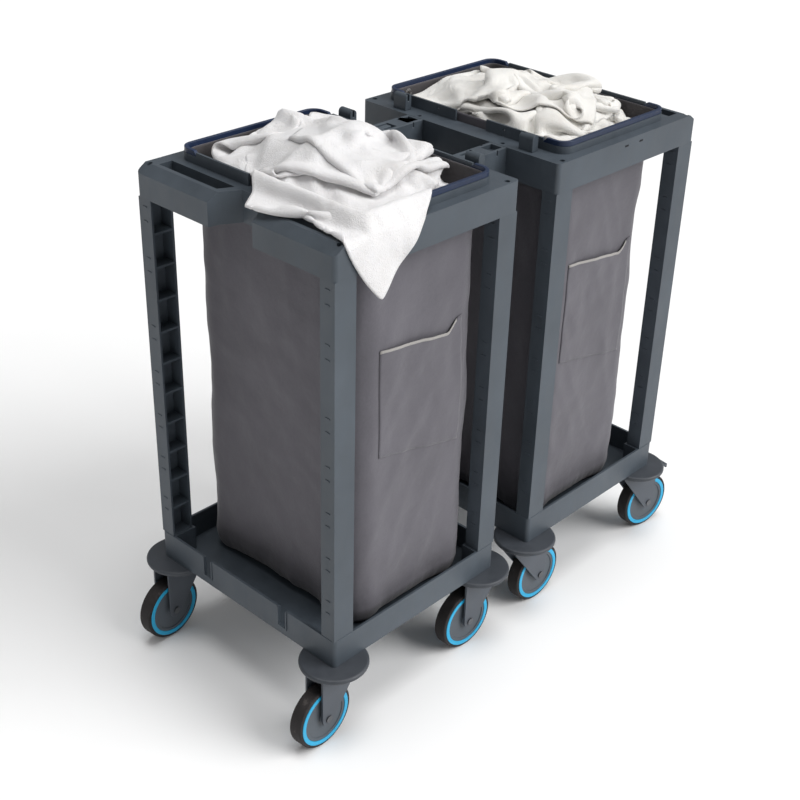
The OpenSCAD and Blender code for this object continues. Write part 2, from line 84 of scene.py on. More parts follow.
# The patch pocket on the front of a bag, from the middle of that side and from the floor
POCKET_LEFT, POCKET_RIGHT = -115 * MM, 122 * MM
POCKET_TOP_Z, POCKET_LOW_Z = 0.880, 0.640
POCKET_SAG, POCKET_SLANT = 24 * MM, 50 * MM
POCKET_T, BINDING_T = 1.2 * MM, 1.4 * MM
BINDING_SHARE = 0.92          # of the pocket's width that is bound

TOWEL_T = 4 * MM

# Marks on the posts and the front skirt, and slots in the trays
POST_FACES = (64 * MM, 118 * MM, 514 * MM, 568 * MM)
POST_Y = 262.5 * MM
TICK_HEIGHTS = (1.046, 0.935, 0.780, 0.672, 0.565, 0.457, 0.350)
TICK_PAIR = 31 * MM
TICK_HALF = (1.3 * MM, 6 * MM, 1.4 * MM)
SKIRT_MARK_X = (0.301, 0.354)
SKIRT_MARK_HALF = (6 * MM, 0.8 * MM, 1.8 * MM)
SLOT_Y = 123 * MM


# ---------- small helpers ----------

def new_piece(name, verts, faces, body="trolley", smooth=True):
    """A mesh object from lists of points and faces that rides on a body."""
    mesh = bpy.data.meshes.new(name)
    mesh.from_pydata([tuple(v) for v in verts], [], [tuple(f) for f in faces])
    mesh.validate()
    obj = bpy.data.objects.new(name, mesh)
    bpy.context.collection.objects.link(obj)
    if smooth:
        mesh.polygons.foreach_set("use_smooth", [True] * len(mesh.polygons))
    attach(obj, body)
    return obj


def paint(obj, material):
    """Gives an object one material."""
    obj.data.materials.clear()
    obj.data.materials.append(material)
    return obj


def thicken(obj, thickness, smooth=False):
    """Gives a sheet its thickness, once it is smoothed if that is asked for."""
    if smooth:
        rounded = obj.modifiers.new("smooth", "SUBSURF")
        rounded.levels = rounded.render_levels = 1
    thick = obj.modifiers.new("thickness", "SOLIDIFY")
    thick.thickness = thickness
    thick.offset = 0
    return thick


def clamp(value, low, high):
    return max(low, min(high, value))


def smoothstep(low, high, value):
    t = clamp((value - low) / (high - low), 0, 1)
    return t * t * (3 - 2 * t)


def wobble(x, y, z, scale, seed=0.0):
    """Smooth noise from -1 to 1 at a place."""
    return noise.noise(Vector((x * scale + seed, y * scale - seed, z * scale + 2 * seed)))


# ---------- materials ----------

class Shader:
    """A Principled material with short calls for the nodes that the finishes share."""

    def __init__(self, name, color, roughness, **settings):
        self.material = bpy.data.materials.new(name)
        self.material.use_nodes = True
        self.nodes = self.material.node_tree.nodes
        self.links = self.material.node_tree.links
        self.bsdf = self.nodes["Principled BSDF"]
        self.bsdf.inputs["Base Color"].default_value = (*color, 1)
        self.bsdf.inputs["Roughness"].default_value = roughness
        for key, value in settings.items():
            self.bsdf.inputs[key.replace("_", " ")].default_value = value
        self.place = self.nodes.new("ShaderNodeTexCoord").outputs["Object"]
        self.height = None    # the last bump layer's output

    def noise(self, scale, detail=2.0, rough=0.5, stretch=None):
        node = self.nodes.new("ShaderNodeTexNoise")
        node.inputs["Scale"].default_value = scale
        node.inputs["Detail"].default_value = detail
        node.inputs["Roughness"].default_value = rough
        self.links.new(self.stretched(stretch), node.inputs["Vector"])
        return node.outputs["Fac"]

    def stretched(self, stretch):
        if stretch is None:
            return self.place
        mapping = self.nodes.new("ShaderNodeMapping")
        mapping.inputs["Scale"].default_value = stretch
        self.links.new(self.place, mapping.inputs["Vector"])
        return mapping.outputs["Vector"]

    def cells(self, scale):
        node = self.nodes.new("ShaderNodeTexVoronoi")
        node.inputs["Scale"].default_value = scale
        self.links.new(self.place, node.inputs["Vector"])
        return node.outputs["Distance"]

    def waves(self, scale, direction, distortion):
        node = self.nodes.new("ShaderNodeTexWave")
        node.bands_direction = direction
        node.inputs["Scale"].default_value = scale
        node.inputs["Distortion"].default_value = distortion
        self.links.new(self.place, node.inputs["Vector"])
        return node.outputs["Fac"]

    def math(self, operation, a, b):
        node = self.nodes.new("ShaderNodeMath")
        node.operation = operation
        for socket, value in zip(node.inputs, (a, b)):
            if isinstance(value, (int, float)):
                socket.default_value = value
            else:
                self.links.new(value, socket)
        return node.outputs[0]

    def remap(self, value, low, high, to_low, to_high):
        node = self.nodes.new("ShaderNodeMapRange")
        for key, number in (("From Min", low), ("From Max", high), ("To Min", to_low), ("To Max", to_high)):
            node.inputs[key].default_value = number
        self.links.new(value, node.inputs["Value"])
        return node.outputs["Result"]

    def ramp(self, value, *stops):
        """A colour ramp from (position, colour) pairs into the base colour."""
        node = self.nodes.new("ShaderNodeValToRGB")
        elements = node.color_ramp.elements
        while len(elements) < len(stops):
            elements.new(0.5)
        for element, (position, color) in zip(elements, stops):
            element.position = position
            element.color = (*color, 1)
        self.links.new(value, node.inputs["Fac"])
        self.links.new(node.outputs["Color"], self.bsdf.inputs["Base Color"])

    def roughness(self, value):
        self.links.new(value, self.bsdf.inputs["Roughness"])

    def bump(self, height, strength, distance):
        """Adds a bump layer on top of the ones before it."""
        node = self.nodes.new("ShaderNodeBump")
        node.inputs["Strength"].default_value = strength
        node.inputs["Distance"].default_value = distance
        self.links.new(height, node.inputs["Height"])
        if self.height:
            self.links.new(self.height, node.inputs["Normal"])
        self.height = node.outputs["Normal"]
        self.links.new(self.height, self.bsdf.inputs["Normal"])


def shade(color, factor):
    return tuple(clamp(c * factor, 0, 1) for c in color)


def plastic(name, color, roughness=0.48, grain=0.25, wear=0.35):
    """Moulded plastic: fine grain, soft cloudiness and light scuffs."""
    s = Shader(name, color, roughness, Specular_IOR_Level=0.45)
    cloud = s.noise(5, 4, 0.6)
    scuff = s.noise(38, 6, 0.72, (1, 1, 0.35))
    mixed = s.math("ADD", s.math("MULTIPLY", cloud, 0.6), s.math("MULTIPLY", scuff, 0.4))
    worn, dull = shade(color, 1 + wear * 0.6), shade(color, 1 - wear * 0.45)
    s.ramp(mixed, (0.36, dull), (0.5, color), (0.66, worn))
    s.roughness(s.remap(scuff, 0.3, 0.7, roughness - 0.08, roughness + 0.12))
    s.bump(s.noise(1400, 2, 0.5), grain, 0.00025)
    s.bump(s.noise(60, 3, 0.5), 0.12, 0.0006)
    return s.material


def cloth(name, color):
    """Woven polyester: fine crossed threads, slubs and a faint sheen."""
    s = Shader(name, color, 0.72, Sheen_Weight=0.25, Sheen_Roughness=0.5, Specular_IOR_Level=0.35)
    slub = s.noise(160, 4, 0.7)
    cloud = s.noise(4, 4, 0.6)
    mixed = s.math("ADD", s.math("MULTIPLY", cloud, 0.55), s.math("MULTIPLY", slub, 0.45))
    s.ramp(mixed, (0.34, shade(color, 0.84)), (0.5, color), (0.66, shade(color, 1.15)))
    s.roughness(s.remap(slub, 0.3, 0.7, 0.66, 0.82))
    weave = s.math("MAXIMUM", s.waves(260, "Z", 0.4), s.waves(260, "DIAGONAL", 0.4))
    s.bump(weave, 0.35, 0.0003)
    s.bump(s.noise(45, 4, 0.6), 0.25, 0.0015)
    s.bump(s.noise(9, 5, 0.55), 0.5, 0.010)
    return s.material


def terry(name, color, warm):
    """Terry towelling: dense short loops over a soft, slightly uneven white."""
    s = Shader(name, color, 0.95, Sheen_Weight=0.55, Sheen_Roughness=0.6, Specular_IOR_Level=0.1)
    s.bsdf.inputs["Subsurface Weight"].default_value = 0.08
    s.bsdf.inputs["Subsurface Radius"].default_value = (0.006, 0.005, 0.004)
    cloud = s.noise(9, 4, 0.6)
    loops = s.noise(420, 3, 0.7)
    mixed = s.math("ADD", s.math("MULTIPLY", cloud, 0.7), s.math("MULTIPLY", loops, 0.3))
    s.ramp(mixed, (0.35, warm), (0.52, color), (0.7, shade(color, 1.06)))
    s.bump(s.cells(520), 0.8, 0.0012)
    s.bump(s.noise(170, 3, 0.7), 0.6, 0.002)
    return s.material


def metal(name, color, roughness, brushed=0.1):
    """Plated or drawn metal with fine streaks round a pin."""
    s = Shader(name, color, roughness, Metallic=1.0)
    streak = s.noise(240, 4, 0.6, (1, 1, 8))
    s.roughness(s.remap(streak, 0.3, 0.7, roughness - 0.06, roughness + 0.14))
    s.ramp(s.noise(30, 3), (0.35, shade(color, 0.85)), (0.65, color))
    s.bump(streak, brushed, 0.0002)
    return s.material


def rubber(name, color):
    """Dark tread rubber with dust on it."""
    s = Shader(name, color, 0.7, Specular_IOR_Level=0.35)
    dust = s.noise(26, 6, 0.7)
    s.ramp(dust, (0.4, color), (0.6, shade(color, 2.0)), (0.78, (0.10, 0.09, 0.085)))
    s.roughness(s.remap(dust, 0.3, 0.7, 0.6, 0.85))
    s.bump(s.noise(900, 2, 0.5), 0.3, 0.0003)
    return s.material


GREY = (0.056, 0.070, 0.086)
FINISH = {
    "frame": plastic("moulded_grey", GREY, 0.46),
    "navy": plastic("moulded_navy", (0.008, 0.020, 0.058), 0.36, 0.12),
    "disc": plastic("bumper_grey", (0.044, 0.050, 0.060), 0.5),
    "caster": plastic("caster_grey", (0.068, 0.078, 0.094), 0.5),
    "hub": plastic("wheel_grey", (0.072, 0.085, 0.100), 0.5),
    "blue": plastic("wheel_blue", (0.014, 0.36, 0.62), 0.38, 0.15, 0.2),
    "pedal": plastic("pedal_grey", (0.065, 0.075, 0.09), 0.5),
    "tyre": rubber("tread_rubber", (0.014, 0.012, 0.012)),
    "steel": metal("zinc_steel", (0.62, 0.63, 0.65), 0.34, 0.2),
    "eyelet": metal("eyelet_metal", (0.52, 0.52, 0.53), 0.2, 0.05),
    "axle": metal("axle_steel", (0.16, 0.165, 0.175), 0.42),
    "screw": metal("blackened_steel", (0.03, 0.03, 0.035), 0.5),
    "bag": cloth("bag_polyester", (0.103, 0.098, 0.114)),
    # the inside face of a bag: the bag's own cloth, darker by painted shade for the inside of the bag
    "inside_painted_shade": cloth("bag_inside_painted_shade", (0.056, 0.051, 0.054)),
    "binding": cloth("pocket_binding", (0.33, 0.315, 0.30)),
    "towel_a": terry("terry_white", (0.76, 0.75, 0.755), (0.66, 0.645, 0.64)),
    "towel_b": terry("terry_cream", (0.80, 0.785, 0.75), (0.70, 0.67, 0.62)),
}


# ---------- moulded parts ----------

def moulded(node, finish, width, body="trolley", segments=2):
    """A copy of a CAD node with soft moulded edges, which stands for the node."""
    mesh = nodes[node].data.copy()
    mesh.name = f"{node}_moulded"
    bm = bmesh.new()
    bm.from_mesh(mesh)
    bmesh.ops.remove_doubles(bm, verts=bm.verts, dist=0.005 * MM)
    if not node.startswith("posts"):    # merging the ribbed faces of a post leaves them badly shaded
        bmesh.ops.dissolve_limit(bm, angle_limit=math.radians(0.6), verts=bm.verts, edges=bm.edges)
    sharp = math.radians(30)
    for edge in bm.edges:
        edge.smooth = len(edge.link_faces) == 2 and edge.calc_face_angle(0) < sharp
    for face in bm.faces:
        face.smooth = True
    bm.to_mesh(mesh)
    bm.free()
    obj = bpy.data.objects.new(f"{node}_moulded", mesh)
    bpy.context.collection.objects.link(obj)
    bevel = obj.modifiers.new("soft_edges", "BEVEL")
    bevel.width = width
    bevel.segments = segments
    bevel.limit_method = "ANGLE"
    bevel.angle_limit = sharp
    bevel.harden_normals = True
    bevel.use_clamp_overlap = True
    bevel.miter_outer = "MITER_ARC"
    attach(obj, body)
    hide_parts(node)
    return paint(obj, FINISH[finish])


def build_moulded_parts():
    """Every moulding of the frame, casters and pedals; the numbers are the widths of the soft edges."""
    for m in MODULES:
        moulded(f"{m}_top_frame", "frame", 2.2 * MM, segments=3)
        moulded(f"{m}_base_tray", "frame", 2.2 * MM, segments=3)
        moulded(f"posts_{m}", "frame", 1.4 * MM)
    moulded("bridges", "frame", 1.2 * MM)
    moulded("hinge_blocks", "frame", 1.5 * MM)
    moulded("bag_rails", "navy", 1.8 * MM, segments=3)
    moulded("bumper_discs", "disc", 1.0 * MM)
    for i in CASTERS:
        moulded(f"fork_{i}", "caster", 1.3 * MM, f"caster_{i}")
        moulded(f"wheel_hub_{i}", "hub", 0.8 * MM, f"wheel_{i}")
        moulded(f"wheel_ring_{i}", "blue", 1.0 * MM, f"wheel_{i}")
    for i in BRAKED:
        moulded(f"brake_pedal_{i}", "pedal", 1.2 * MM, f"pedal_{i}")


def small_bars(name, places, finish, edge):
    """Many small raised bars in one piece; each place is a middle and its half sizes."""
    corners = [(sx, sy, sz) for sz in (-1, 1) for sx, sy in ((-1, -1), (1, -1), (1, 1), (-1, 1))]
    sides = ((0, 3, 2, 1), (4, 5, 6, 7), (0, 1, 5, 4), (1, 2, 6, 5), (2, 3, 7, 6), (3, 0, 4, 7))
    verts, faces = [], []
    for (x, y, z), (half_x, half_y, half_z) in places:
        first = len(verts)
        verts += [(x + sx * half_x, y + sy * half_y, z + sz * half_z) for sx, sy, sz in corners]
        faces += [[first + k for k in face] for face in sides]
    obj = new_piece(name, verts, faces, smooth=False)
    bevel = obj.modifiers.new("soft_edges", "BEVEL")
    bevel.width = edge
    bevel.segments = 2
    return paint(obj, FINISH[finish])


def build_marks():
    """The paired height ticks on the end faces of the posts, and two marks on the front skirt of b."""
    for m, side in MODULES.items():
        ticks = []
        for face_x in POST_FACES:
            for y in (-POST_Y, POST_Y):
                for height in TICK_HEIGHTS:
                    for step in (-TICK_PAIR / 2, TICK_PAIR / 2):
                        ticks.append(((side * face_x, y, height + step), TICK_HALF))
        small_bars(f"post_ticks_{m}", ticks, "frame", 0.5 * MM)
    marks = [((x, -FRAME_HIGH.y, TOP_Z - 15 * MM), SKIRT_MARK_HALF) for x in SKIRT_MARK_X]
    small_bars("skirt_marks", marks, "screw", 0.3 * MM)


def build_slot_borders():
    """A raised border round each hook slot in the end rims of the base trays."""
    low, high, half_w = TRAY_LOW.z + 21 * MM, TRAY_HIGH.z, 11 * MM
    half_border, half_depth = 2 * MM, 1.5 * MM
    for m, side in MODULES.items():
        borders = []
        for y in (-SLOT_Y, SLOT_Y):
            x = side * (TRAY_HIGH.x + 0.5 * MM)
            for edge in (-1, 1):
                borders.append(((x, y + edge * (half_w + half_border), (low + high) / 2 - MM),
                                (half_depth, half_border, (high - low) / 2)))
            borders.append(((x, y, low - half_border), (half_depth, half_w + 2 * half_border, half_border)))
        small_bars(f"slot_borders_{m}", borders, "frame", 0.8 * MM)


def finish_cad_nodes():
    """Materials for the CAD nodes that show as they are."""
    for name, finish in (("frame_screws", "screw"), ("king_pins", "steel"), ("swivel_bearings", "steel"),
                         ("eyelets", "eyelet")):
        paint(nodes[name], FINISH[finish])
    for i in CASTERS:
        paint(nodes[f"axle_{i}"], FINISH["axle"])
        paint(nodes[f"tyre_{i}"], FINISH["tyre"])


# ---------- cloth that is relaxed under its own weight ----------

def pull(a, b, rest, share, short_only=False):
    """Moves two sets of points together or apart towards a rest distance."""
    gap = b - a
    length = np.sqrt((gap * gap).sum(-1, keepdims=True)) + 1e-12
    error = (length - rest) / length
    if short_only:
        error = np.minimum(error, 0)
    gap *= error * share * 0.5
    a += gap
    b -= gap


def pull_rows(points, rest):
    """Holds neighbouring rows at their rest distance, the even pairs first and then the odd ones."""
    for first in (0, 1):
        pull(points[first:-1:2], points[first + 1::2], rest, 1.0)


def pull_diagonals(points, rest, share):
    """Holds the diagonals of the cells, which keeps the cloth from shearing."""
    for first in (0, 1):
        pull(points[first:-1:2, :-1], points[first + 1::2, 1:], rest, share)
        pull(points[first:-1:2, 1:], points[first + 1::2, :-1], rest, share)


def push_apart(points, rest, span, first, share):
    """Keeps rows span apart from closing up, taking every second such pair from first on."""
    a, b = points[first:-span:2 * span], points[first + span::2 * span]
    count = min(len(a), len(b))
    if count:
        pull(a[:count], b[:count], rest * span * 0.97, share, short_only=True)


def resist_folding(points, rest_u, rest_v, share):
    """Bending stiffness, which sets how sharp a fold can be."""
    for span, part in ((2, share), (4, share * 0.6)):
        for first in range(2 * span):
            push_apart(points.swapaxes(0, 1), rest_u, span, first, part)
            push_apart(points, rest_v, span, first, part)


def ring_distance(x, y, low_x, high_x, half_y, corner):
    """Signed distance to a rounded rectangle in plan, negative inside."""
    dx = np.abs(x - (low_x + high_x) / 2) - (high_x - low_x) / 2 + corner
    dy = np.abs(y) - half_y + corner
    return np.hypot(np.maximum(dx, 0), np.maximum(dy, 0)) + np.minimum(np.maximum(dx, dy), 0) - corner


class Land:
    """Height of what the towels of one module lie on, over a grid in plan.

    It has the mound of linen inside the bag, the rails round it, the frame and a drop outside the frame.
    """
    STEP = 4 * MM
    COLUMNS, ROWS = 171, 211
    MOUND_HALF_X, MOUND_HALF_Y = 0.172, 0.243
    RAIL_W = 12 * MM
    SPARE = 4 * MM    # so that thick cloth clears the edges under it
    DROP = 0.4

    def __init__(self, side, heap, floor):
        self.low_x = -0.68 if side < 0 else 0.0
        self.low_y = -0.42
        x, y = np.meshgrid(self.low_x + np.arange(self.COLUMNS) * self.STEP,
                           self.low_y + np.arange(self.ROWS) * self.STEP)
        x *= side
        ring = ring_distance(x, y, RING_X0, RING_X1, RING_Y, RING_CORNER)
        outline = ring_distance(x, y, FRAME_LOW.x, FRAME_HIGH.x, FRAME_HIGH.y, 10 * MM)
        u = np.abs(x - RING_MID) / self.MOUND_HALF_X
        v = np.abs(y) / self.MOUND_HALF_Y
        mound = floor + heap * np.maximum(0, 1 - u ** 2.6) * np.maximum(0, 1 - v ** 2.8)
        z = np.where(outline > self.SPARE, TOP_Z - self.DROP, TOP_Z)
        z = np.where(ring < self.SPARE, RAIL_HIGH.z + self.SPARE, z)
        self.z = np.where(ring < -self.RAIL_W, mound, z)

    def height(self, x, y):
        """Height under each place, between the grid's points."""
        fx = np.clip((x - self.low_x) / self.STEP, 0, self.z.shape[1] - 1.001)
        fy = np.clip((y - self.low_y) / self.STEP, 0, self.z.shape[0] - 1.001)
        i, j = fx.astype(int), fy.astype(int)
        a, b, z = fx - i, fy - j, self.z
        low = z[j, i] * (1 - a) + z[j, i + 1] * a
        high = z[j + 1, i] * (1 - a) + z[j + 1, i + 1] * a
        return low * (1 - b) + high * b

    def cover(self, points, thickness):
        """Raises the land to a sheet that now lies on it."""
        fine = 6    # points per cell, so that none of the land under the sheet is missed
        for axis in (0, 1):
            count = points.shape[axis]
            a, b = np.take(points, range(count - 1), axis), np.take(points, range(1, count), axis)
            points = np.concatenate([a + (b - a) * k / fine for k in range(fine)], axis)
        x, y, z = points.reshape(-1, 3).T
        i = np.clip(np.round((x - self.low_x) / self.STEP).astype(int), 0, self.z.shape[1] - 1)
        j = np.clip(np.round((y - self.low_y) / self.STEP).astype(int), 0, self.z.shape[0] - 1)
        np.maximum.at(self.z, (j, i), z + thickness)


def settle(points, rest_u, rest_v, land, steps, keep, friction):
    """Lets a sheet fall on the land and come to rest, held inside keep = (x0, x1, y0, y1)."""
    gravity, dt, damping, rounds = 9.8, 0.012, 0.98, 8
    shear, fold = 0.35, 0.25
    lift = 4 * MM
    front, skirt_depth = -FRAME_HIGH.y - 9 * MM, 40 * MM
    diagonal = math.hypot(rest_u, rest_v)
    before = points.copy()
    for _ in range(steps):
        moved = (points - before) * damping
        before = points.copy()
        points += moved
        points[..., 2] -= gravity * dt * dt
        for turn in range(rounds):
            pull_rows(points.swapaxes(0, 1), rest_u)
            pull_rows(points, rest_v)
            pull_diagonals(points, diagonal, shear)
            if turn % 2 == 0:
                resist_folding(points, rest_u, rest_v, fold)
            x, y, z = points[..., 0], points[..., 1], points[..., 2]
            np.clip(x, keep[0], keep[1], out=x)
            np.clip(y, keep[2], keep[3], out=y)
            ground = land.height(x, y) + lift
            deep = ground - z
            hit = deep > 0
            into_skirt = hit & (y > front) & (y < front + skirt_depth) & (deep > y - front)
            y[into_skirt] = front
            hit &= ~into_skirt
            z[hit] = ground[hit]
        points[..., :2] -= (points[..., :2] - before[..., :2]) * np.where(hit, friction, 0)[..., None]
    return points


def sheet_points(place, width, length, step):
    """A grid of points over a flat sheet, each put where place says, and its rest lengths."""
    columns, rows = round(width / step), round(length / step)
    points = np.array([[place(width * i / columns, length * j / rows) for i in range(columns + 1)]
                       for j in range(rows + 1)], float)
    return points, width / columns, length / rows


def heaped(middle, turn, size, squeeze, z, seed, busy=5.0, amount=0.05):
    """Starts a towel pushed together over a spot, with waves that grow into folds."""
    cos, sin = math.cos(turn), math.sin(turn)
    width, length = size
    stray = 35 * MM

    def place(a, b):
        u = (a - width / 2) * squeeze[0] + stray * noise.noise(Vector((a * busy, b * busy + seed, seed + 5)))
        v = (b - length / 2) * squeeze[1] + stray * noise.noise(Vector((a * busy + seed, b * busy, seed)))
        rise = noise.noise(Vector((a * busy * 1.6 + seed, b * busy * 1.6, seed + 9)))
        return (middle[0] + u * cos - v * sin, middle[1] + u * sin + v * cos, z + amount * rise)
    return place


def from_corner(corner, along, across, turn_at, then, z, seed):
    """Starts a towel nearly flat, from one corner; its first edge turns aside part of the way along."""

    def place(a, b):
        rise = 0.012 * noise.noise(Vector((a * 6 + seed, b * 6, seed)))
        near, beyond = min(a, turn_at), max(a - turn_at, 0)
        return (corner[0] + along[0] * near + then[0] * beyond + across[0] * b,
                corner[1] + along[1] * near + then[1] * beyond + across[1] * b, z + rise)
    return place


def grid_faces(rows, columns, closed=False):
    """The quads of a grid of points, whose rows may close into rings."""
    span = columns if closed else columns - 1
    return [(j * columns + i, j * columns + (i + 1) % columns, (j + 1) * columns + (i + 1) % columns,
             (j + 1) * columns + i) for j in range(rows - 1) for i in range(span)]


def towel(name, finish, land, start, size, keep, steps=120, step=11 * MM, friction=0.6):
    """One towel, relaxed on the land and given its thickness."""
    points, rest_u, rest_v = sheet_points(start, *size, step)
    settle(points, rest_u, rest_v, land, steps, keep, friction)
    land.cover(points, 3 * MM)
    obj = new_piece(name, points.reshape(-1, 3), grid_faces(*points.shape[:2]))
    thicken(obj, TOWEL_T, smooth=True)
    return paint(obj, FINISH[finish])


def build_towels_a():
    """Three towels in the bag of module a; the second hangs its corner over the front of the frame."""
    land = Land(-1, 92 * MM, TOP_Z - 0.05)
    left, right, front, back = -RING_X1 + 22 * MM, -RING_X0 - 22 * MM, -RING_Y + 24 * MM, RING_Y - 24 * MM
    size = (0.50, 0.80)
    first = towel("towel_a_1", "towel_a", land, heaped((-0.30, 0.03), 0.3, size, (0.55, 0.5), 1.27, 1.0),
                  size, (left, right, front, back))
    corner = from_corner((-0.505, -0.462), (-0.40, 0.917), (0.73, 0.68), 0.22, (0.10, 0.99), 1.25, 3.0)
    hung = towel("towel_a_2", "towel_a", land, corner, (0.38, 0.55), (-0.566, right, -0.50, back),
                 steps=150, step=10 * MM, friction=0.92)
    size = (0.52, 0.72)
    top = towel("towel_a_3", "towel_a", land,
                heaped((-0.29, -0.075), -0.35, size, (0.70, 0.70), 1.33, 7.0, busy=2.6, amount=0.035),
                size, (left, right, -RING_Y - 12 * MM, back))
    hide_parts("linen_a")


def build_towels_b():
    """Three crumpled towels in the bag of module b."""
    land = Land(1, 70 * MM, TOP_Z - 0.05)
    keep = (RING_X0 + 22 * MM, RING_X1 - 22 * MM, -RING_Y + 24 * MM, RING_Y - 24 * MM)
    size = (0.55, 0.85)
    below = towel("towel_b_1", "towel_b", land, heaped((0.30, 0.05), 0.2, size, (0.5, 0.5), 1.27, 11.0),
                  size, keep)
    size = (0.50, 0.80)
    middle = towel("towel_b_2", "towel_b", land,
                   heaped((0.29, -0.07), -0.5, size, (0.5, 0.45), 1.32, 17.0, busy=7.0),
                   size, keep)
    size = (0.45, 0.70)
    upper = towel("towel_b_3", "towel_b", land,
                  heaped((0.27, 0.06), 0.9, size, (0.5, 0.5), 1.36, 23.0, busy=8.0),
                  size, keep)
    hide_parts("linen_b")


# ---------- bags ----------

def ring_points(low_x, high_x, half_y, corner, count):
    """Points evenly round a rounded rectangle, from the middle of its -Y side towards +X."""
    straight_x = (high_x - low_x) - 2 * corner
    straight_y = 2 * (half_y - corner)
    arc = math.pi * corner / 2
    total = 2 * (straight_x + straight_y + 2 * arc)
    mid_x = (low_x + high_x) / 2
    legs = [(straight_x / 2, (mid_x, -half_y), 0), (arc, (high_x - corner, -half_y + corner), -90),
            (straight_y, (high_x, -half_y + corner), 90), (arc, (high_x - corner, half_y - corner), 0),
            (straight_x, (high_x - corner, half_y), 180), (arc, (low_x + corner, half_y - corner), 90),
            (straight_y, (low_x, half_y - corner), 270), (arc, (low_x + corner, -half_y + corner), 180),
            (straight_x / 2, (low_x + corner, -half_y), 0)]
    points = []
    for k in range(count):
        rest = total * k / count
        for index, (length, start, degrees) in enumerate(legs):
            if rest <= length or index == len(legs) - 1:
                break
            rest -= length
        angle = math.radians(degrees)
        if index % 2:
            angle += rest / corner
            points.append((start[0] + corner * math.cos(angle), start[1] + corner * math.sin(angle)))
        else:
            points.append((start[0] + rest * math.cos(angle), start[1] + rest * math.sin(angle)))
    return np.array(points)


def bag_levels():
    """Rings of a bag from the hem down and in under the bottom: inset from the ring, corner, height."""
    hem_corner = RING_CORNER - HEM_INSET
    levels = [(HEM_INSET, hem_corner, BAG_HIGH.z - 2 * MM - k * 9.5 * MM) for k in range(HEM_ROWS)]
    for k in range(1, 4):    # out of the hem
        inset = HEM_INSET + (BODY_INSET - HEM_INSET) * smoothstep(0, 3, k)
        levels.append((inset, hem_corner + 9 * MM * k, BAG_HIGH.z - 40 * MM - k * 8 * MM))
    rows = round((levels[-1][2] - BAG_LOW.z - ROUND_H) / CLOTH_STEP)
    top = levels[-1][2]
    low = BAG_LOW.z + ROUND_H
    levels += [(BODY_INSET, BAG_CORNER, top + (low - top) * (k + 1) / rows) for k in range(rows)]
    for k in range(1, 5):    # round the bottom edge
        angle = math.pi / 2 * k / 4
        levels.append((BODY_INSET + ROUND_H * (1 - math.cos(angle)), BAG_CORNER + 2 * MM * k,
                       low - (low - BAG_LOW.z - MM) * math.sin(angle)))
    for k in range(1, 7):    # in under the bag
        levels.append((BODY_INSET + ROUND_H + 20.5 * MM * k, BAG_CORNER - 6 * MM * k, BAG_LOW.z + MM))
    return levels


def bag_points(seed):
    """The rows of rings of one bag, pressed out by the towels inside and sagging from its hem."""
    count = 2 * round(BAG_ROUND / CLOTH_STEP / 2)
    levels = bag_levels()
    points = np.zeros((len(levels), count, 3))
    for row, (inset, corner, z) in enumerate(levels):
        points[row, :, :2] = ring_points(RING_X0 + inset, RING_X1 - inset, RING_Y - inset, corner, count)
        points[row, :, 2] = z
    rest_u = np.linalg.norm(np.roll(points, -1, 1) - points, axis=2)[..., None]
    rest_v = np.linalg.norm(points[1:] - points[:-1], axis=2)[..., None]
    loose, tight, share_round = 1.022, 1.004, 0.55
    slack = np.array([loose if BAG_LOW.z + ROUND_H < z < TOP_Z - 30 * MM else tight for _, _, z in levels])
    rest_u *= 1 + (slack[:, None, None] - 1) * share_round
    rest_v *= slack[1:, None, None]
    for row in range(HEM_ROWS, len(levels)):
        for k in range(count):
            x, y, z = points[row, k]
            out = Vector((x - RING_MID, y * 0.6, 0)).normalized()
            push = 6 * MM * wobble(x, y, z, 7, seed) + 4 * MM * wobble(x, y, z, 17, seed + 3)
            points[row, k] += np.array(out * push)
    hang(points, rest_u, rest_v, seed)
    crease(points, seed)
    return points


def crease(points, seed):
    """Small sharp ridges all over a bag, and one pressed fold from top to bottom of its front."""
    rows, count = points.shape[:2]
    for row in range(HEM_ROWS + 3, rows - UNDER_ROWS):
        for k in range(count):
            x, y, z = points[row, k]
            ridge = (1 - abs(wobble(x, y, z * 0.7 + x, 8, seed + 20))) ** 4
            ridge += 0.6 * wobble(x, y, z, 22, seed + 30)
            out = np.array((x - RING_MID, y * 0.6, 0))
            points[row, k] += out / np.linalg.norm(out) * 3.0 * MM * (ridge - 0.4)
            away = abs(k / count * BAG_ROUND - (BAG_ROUND - CREASE_AT))
            points[row, k, 1] -= CREASE_H * clamp(1 - away / CREASE_HALF_W, 0, 1)


